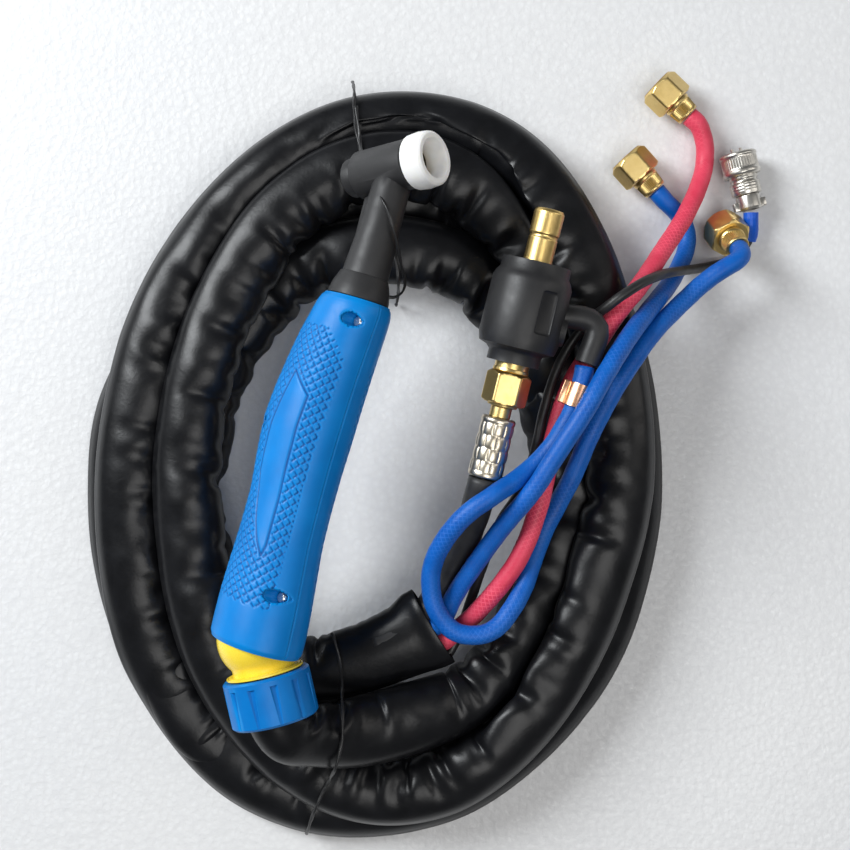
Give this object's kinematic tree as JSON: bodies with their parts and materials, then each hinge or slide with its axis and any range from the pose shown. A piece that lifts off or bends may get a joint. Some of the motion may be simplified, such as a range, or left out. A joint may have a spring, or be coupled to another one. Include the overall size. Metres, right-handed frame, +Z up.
{
  "type": "tig torch",
  "caption": "Water-cooled TIG torch with a two-part handle on a ball joint, a tied coil of sleeved cable, a power connector, two water hoses, a gas hose and a control plug.",
  "frame": {"origin": "on the resting plane, under the centre of the handle's ball joint, on the coil's flat underside", "axes": "+Z up from the resting plane; +Y roughly along the torch from the ball joint towards the head; +X towards the power connector and the hose ends"},
  "size_m": [0.3113, 0.3502, 0.0929],
  "materials": {
    "black_cable": "black cable sheath",
    "black_rubber": "black moulded rubber",
    "black_sleeve": "soft black film jacket, semi-gloss",
    "blue_hose": "blue ribbed hose",
    "blue_plastic": "satin blue moulding",
    "blue_shrink": "blue heat shrink sleeve",
    "brass": "machined, lightly scuffed",
    "copper": "copper, satin",
    "grey_plastic": "dark grey plastic",
    "nickel": "nickel plated",
    "plated_ferrule": "warm bright plating, crimped",
    "red_hose": "red hose with fine braid lines",
    "steel": "zinc plated screw steel",
    "white_ptfe": "white moulding, slightly translucent",
    "yellow_plastic": "glossy yellow moulding"
  },
  "bodies": {
    "cable_set": {"ball_clip": "yellow_plastic", "cable_clamp": "nickel", "coil_tie_bottom": "black_cable", "coil_tie_top": "black_cable", "connector_core": "brass", "control_cable": "black_cable", "gas_ferrule": "brass", "gas_hose": "red_hose", "heat_shrink": "blue_shrink", "inlet_ferrule": "brass", "inlet_hose": "blue_hose", "plug_insert": "black_cable", "plug_pin": "brass", "plug_pin_1": "brass", "plug_pin_2": "brass", "plug_shell": "nickel", "power_cable": "black_cable", "power_ferrule": "plated_ferrule", "power_nut": "brass", "power_tail_pipe": "brass", "return_clamp": "copper", "return_ferrule": "brass", "return_hose": "blue_hose", "rubber_boot": "black_rubber", "sleeve_clamp_ring": "grey_plastic", "sleeve_coil": "black_sleeve", "sleeve_lead": "black_sleeve", "sleeve_mouth": "black_sleeve", "swivel_ball": "yellow_plastic", "water_barb": "brass"},
    "torch": {"handle_shell_front": "blue_plastic", "handle_shell_back": "blue_plastic", "handle_screw_1": "steel", "handle_screw_2": "steel", "handle_screw_3": "steel", "torch_body": "black_rubber", "neck_collar": "black_rubber", "head_insert": "brass", "insulator_ring": "white_ptfe", "power_pipe": "copper", "water_pipe": "brass", "gas_pipe": "brass", "power_tail": "black_cable", "water_tail": "blue_hose", "gas_tail": "red_hose", "micro_switch": "grey_plastic", "trigger_spring": "steel", "neck_tie": "black_cable"},
    "yaw_guide": {"hose_guide": "grey_plastic"},
    "trigger": {"trigger_button": "black_rubber"},
    "cap_travel": {"back_cap_oring": "black_cable"},
    "cap": {"back_cap": "black_rubber"},
    "clamp_nut": {"clamp_nut": "blue_plastic"},
    "gas_nut": {"gas_nut": "brass"},
    "inlet_nut": {"inlet_nut": "brass"},
    "return_nut": {"return_nut": "brass"},
    "plug_ring": {"plug_ring": "nickel"}
  },
  "joints": [
    {"name": "ball_yaw", "type": "hinge", "parent": "cable_set", "child": "yaw_guide", "pos_m": [0, 0, 0.072], "axis": [0, 0, 1], "range_deg": [0, 58]},
    {"name": "ball_pitch", "type": "hinge", "parent": "yaw_guide", "child": "torch", "pos_m": [0, 0, 0.072], "axis": [0.9593, -0.2823, 0], "range_deg": [0, 8]},
    {"name": "trigger_press", "type": "slide", "parent": "torch", "child": "trigger", "axis": [0.6543, -0.1926, 0.7314], "range_m": [0, 0.0012], "stiffness_N_per_m": 1200, "springref_m": -0.0008},
    {"name": "cap_slide", "type": "slide", "parent": "torch", "child": "cap_travel", "axis": [-0.7963, -0.0878, -0.5985], "range_m": [0, 0.004]},
    {"name": "cap_turn", "type": "hinge", "parent": "cap_travel", "child": "cap", "pos_m": [0.05802, 0.19714, 0.072], "axis": [-0.7963, -0.0878, -0.5985], "range_deg": [0, 1440]},
    {"name": "clamp_nut_turn", "type": "hinge", "parent": "cable_set", "child": "clamp_nut", "pos_m": [0.00558, -0.02437, 0.072], "axis": [-0.2233, 0.9748, 0], "continuous": true},
    {"name": "gas_nut_turn", "type": "hinge", "parent": "cable_set", "child": "gas_nut", "pos_m": [0.18175, 0.24278, 0.0104], "axis": [-0.7193, 0.6947, 0], "continuous": true},
    {"name": "inlet_nut_turn", "type": "hinge", "parent": "cable_set", "child": "inlet_nut", "pos_m": [0.1672, 0.2088, 0.0104], "axis": [-0.6691, 0.7431, 0], "continuous": true},
    {"name": "return_nut_turn", "type": "hinge", "parent": "cable_set", "child": "return_nut", "pos_m": [0.20907, 0.17841, 0.01206], "axis": [-0.2251, 0.6021, -0.766], "continuous": true},
    {"name": "plug_ring_turn", "type": "hinge", "parent": "cable_set", "child": "plug_ring", "pos_m": [0.21614, 0.2099, 0.0094], "axis": [-0.2351, 0.972, 0], "continuous": true}
  ],
  "couplings": [
    {"joint": "cap_turn", "follows": "cap_slide", "rad_per_m": 6283.2}
  ]
}
